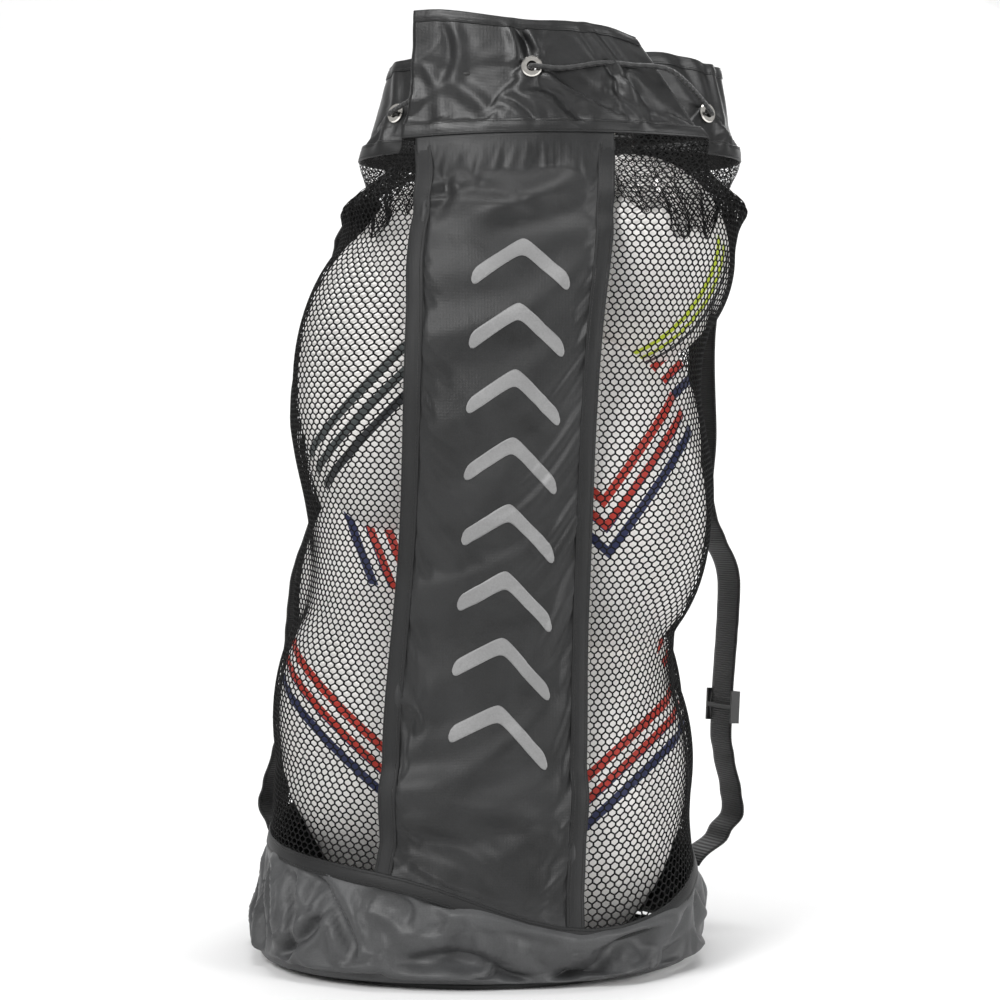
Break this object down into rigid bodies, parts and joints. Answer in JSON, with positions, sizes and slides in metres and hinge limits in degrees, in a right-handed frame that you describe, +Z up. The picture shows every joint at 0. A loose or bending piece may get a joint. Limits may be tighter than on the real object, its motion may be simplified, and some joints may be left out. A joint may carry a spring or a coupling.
{
  "type": "mesh ball bag",
  "caption": "Tall drawstring ball sack with net sides, solid front and back panels, a stiff drum base, an eyeleted collar and two shoulder straps.",
  "frame": {"origin": "centre of the base's underside, on the ground", "axes": "+Z up along the bag, -Y out of the front panel, +X to the front panel's right as seen from the front"},
  "size_m": [0.462, 0.4167, 0.826],
  "materials": {
    "nylon_black": "satin woven nylon",
    "nylon_base": "crumpled woven nylon, slight sheen",
    "nylon_collar": "coated nylon, soft sheen",
    "net_black": "knitted polyester net, matte",
    "tape_black": "woven binding tape",
    "webbing_black": "ribbed webbing",
    "cord_black": "braided cord",
    "print_silver": "matte silver screen print",
    "nickel": "polished nickel plate",
    "spring_steel": "drawn wire",
    "lock_plastic": "moulded, fine texture",
    "board": "sheet polypropylene"
  },
  "bodies": {
    "bag": {"base_disc": "nylon_base", "base_board": "board", "base_piping": "tape_black", "base_wall": "nylon_base", "base_hem_tape": "tape_black", "front_panel": "nylon_black", "front_motif": "print_silver", "back_panel": "nylon_black", "net_left": "net_black", "net_right": "net_black", "binding_front_left": "tape_black", "binding_front_right": "tape_black", "binding_back_left": "tape_black", "binding_back_right": "tape_black", "neck_gather": "net_black", "collar_lobe": "nylon_collar", "collar_lobe_tapes": "nylon_collar", "lobe_eyelet_barrels": "nickel", "lobe_eyelet_washers": "nickel", "draw_cord": "cord_black", "strap_top_tabs": "tape_black", "strap_base_tabs": "tape_black"},
    "mouth_flap": {"collar_flap": "nylon_collar", "collar_flap_tapes": "nylon_collar", "flap_eyelet_barrel": "nickel", "flap_eyelet_washer": "nickel"},
    "cord_ends": {"cord_tails": "cord_black", "cord_knots": "cord_black"},
    "cord_lock": {"cord_lock_barrel": "lock_plastic", "cord_lock_spring": "spring_steel"},
    "lock_button": {"cord_lock_button": "lock_plastic"},
    "strap_left": {"strap_left_webbing": "webbing_black"},
    "slider_left": {"strap_left_slider": "lock_plastic"},
    "strap_right": {"strap_right_webbing": "webbing_black"},
    "slider_right": {"strap_right_slider": "lock_plastic"}
  },
  "joints": [
    {"name": "mouth_flap_fold", "type": "hinge", "parent": "bag", "child": "mouth_flap", "pos_m": [0.055, -0.09, 0.705], "axis": [-1, 0, 0], "range_deg": [-25, 15], "stiffness_Nm_per_rad": 1.5, "deforming": ["neck_gather", "draw_cord"]},
    {"name": "cord_draw", "type": "slide", "parent": "bag", "child": "cord_ends", "axis": [0, 0.1994, -0.9799], "range_m": [-0.045, 0.03]},
    {"name": "cord_lock_slide", "type": "slide", "parent": "bag", "child": "cord_lock", "axis": [0, 0.1994, -0.9799], "range_m": [0, 0.09], "stiffness_N_per_m": 20},
    {"name": "lock_button_press", "type": "slide", "parent": "cord_lock", "child": "lock_button", "axis": [-1, 0, 0], "range_m": [0, 0.004], "stiffness_N_per_m": 400, "deforming": ["cord_lock_spring"]},
    {"name": "strap_left_swing", "type": "hinge", "parent": "bag", "child": "strap_left", "pos_m": [-0.1758, 0.14157, 0.06], "axis": [0.0932, -0.0728, 0.993], "range_deg": [-20, 20], "stiffness_Nm_per_rad": 0.3},
    {"name": "slider_left_slide", "type": "slide", "parent": "strap_left", "child": "slider_left", "axis": [0.0983, -0.0768, 0.9922], "range_m": [0, 0.1], "stiffness_N_per_m": 30},
    {"name": "strap_right_swing", "type": "hinge", "parent": "bag", "child": "strap_right", "pos_m": [0.20655, 0.08956, 0.06], "axis": [0.0513, 0.0228, 0.9984], "range_deg": [-20, 20], "stiffness_Nm_per_rad": 0.3},
    {"name": "slider_right_slide", "type": "slide", "parent": "strap_right", "child": "slider_right", "axis": [0.0453, 0.0202, 0.9988], "range_m": [0, 0.1], "stiffness_N_per_m": 30}
  ],
  "couplings": [
    {"joint": "cord_draw", "follows": "mouth_flap_fold", "m_per_rad": 0.1}
  ]
}
